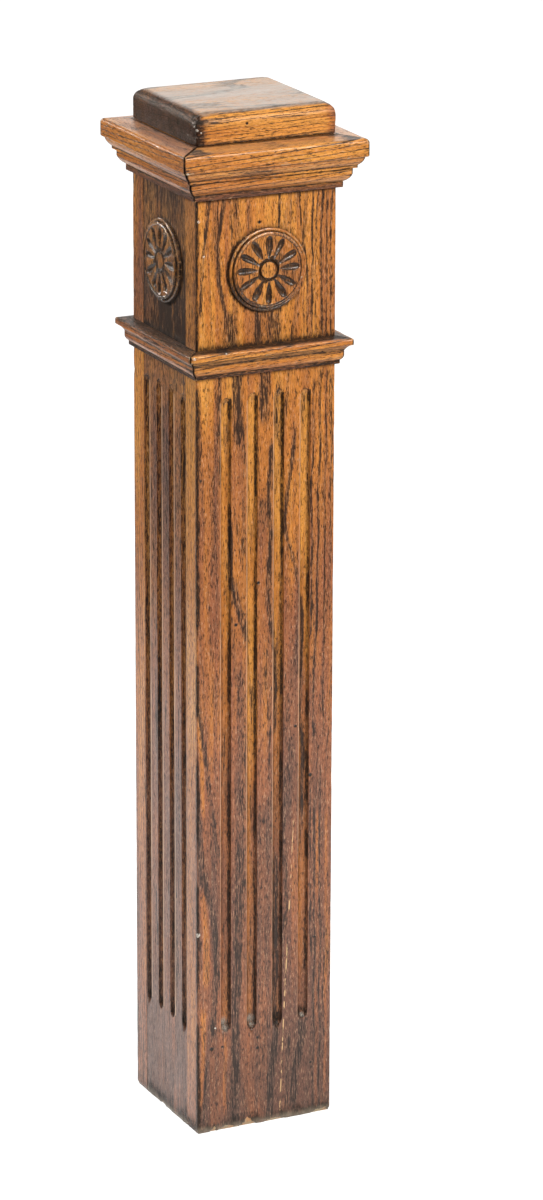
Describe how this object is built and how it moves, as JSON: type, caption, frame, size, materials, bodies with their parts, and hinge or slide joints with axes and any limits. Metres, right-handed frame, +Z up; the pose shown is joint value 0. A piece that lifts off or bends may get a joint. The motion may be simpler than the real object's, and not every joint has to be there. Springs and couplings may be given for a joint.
{
  "type": "newel post",
  "caption": "Square box newel post of stained oak boards with stopped flutes, a collar, carved rosettes, a stepped cornice and a solid cap block.",
  "frame": {"origin": "centre of the post's foot, on the floor", "axes": "+Z up the post; -Y is the front, +Y the side with the handrail's seat, -X and +X the other two sides"},
  "size_m": [0.2006, 0.2006, 1.071],
  "materials": {
    "oak_boards": "dark-stained open-grained oak under worn glossy varnish",
    "oak_mouldings": "stained oak, glossy varnish, dirt in the quirks",
    "oak_rosettes": "stained carved oak, glossy, with dark grime in the cuts",
    "oak_cap": "stained oak, varnish worn and dulled on top"
  },
  "bodies": {
    "root": {"board_front": "oak_boards", "board_right": "oak_boards", "board_back": "oak_boards", "board_left": "oak_boards", "collar_front": "oak_mouldings", "collar_right": "oak_mouldings", "collar_back": "oak_mouldings", "collar_left": "oak_mouldings", "cornice_front": "oak_mouldings", "cornice_right": "oak_mouldings", "cornice_back": "oak_mouldings", "cornice_left": "oak_mouldings", "rosette_front": "oak_rosettes", "rosette_right": "oak_rosettes", "rosette_left": "oak_rosettes", "cap_block": "oak_cap"}
  },
  "joints": []
}
